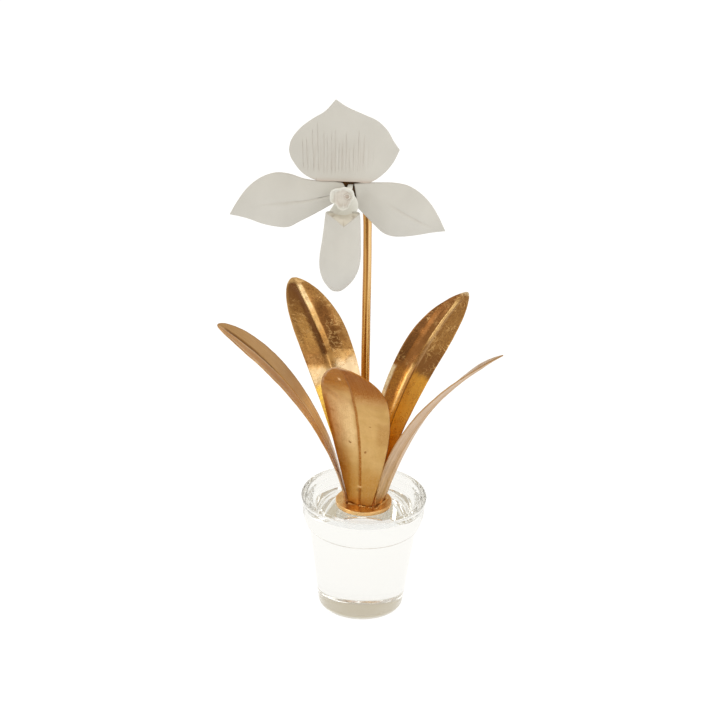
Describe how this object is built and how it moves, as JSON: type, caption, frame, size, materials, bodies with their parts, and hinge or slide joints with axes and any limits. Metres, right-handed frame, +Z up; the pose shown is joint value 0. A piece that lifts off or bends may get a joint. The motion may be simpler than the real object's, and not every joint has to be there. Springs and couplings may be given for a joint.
{
  "type": "decorative slipper orchid ornament",
  "caption": "White porcelain slipper orchid bloom on a gilded metal rod with gilded leaves, standing in a solid clear crystal flowerpot.",
  "frame": {"origin": "middle of the pot's flat underside, on the surface it stands on", "axes": "+Z up, the bloom and its pouch face -Y, +X is to the right of someone who looks at the bloom"},
  "size_m": [0.1669, 0.1405, 0.3251],
  "materials": {
    "crystal": "clear polished",
    "gilded_disc": "darkened gold leaf",
    "gold_leaf": "aged gold leaf, satin",
    "porcelain": "unglazed matte bisque"
  },
  "bodies": {
    "root": {"glass_pot": "crystal", "base_disc": "gilded_disc", "stem": "gold_leaf", "leaf_front": "gold_leaf", "leaf_right": "gold_leaf", "leaf_back_right": "gold_leaf", "leaf_back_left": "gold_leaf", "leaf_left": "gold_leaf", "bloom_mount": "gold_leaf", "dorsal_sepal": "porcelain", "petal_left": "porcelain", "petal_right": "porcelain", "pouch": "porcelain", "column": "porcelain"}
  },
  "joints": []
}
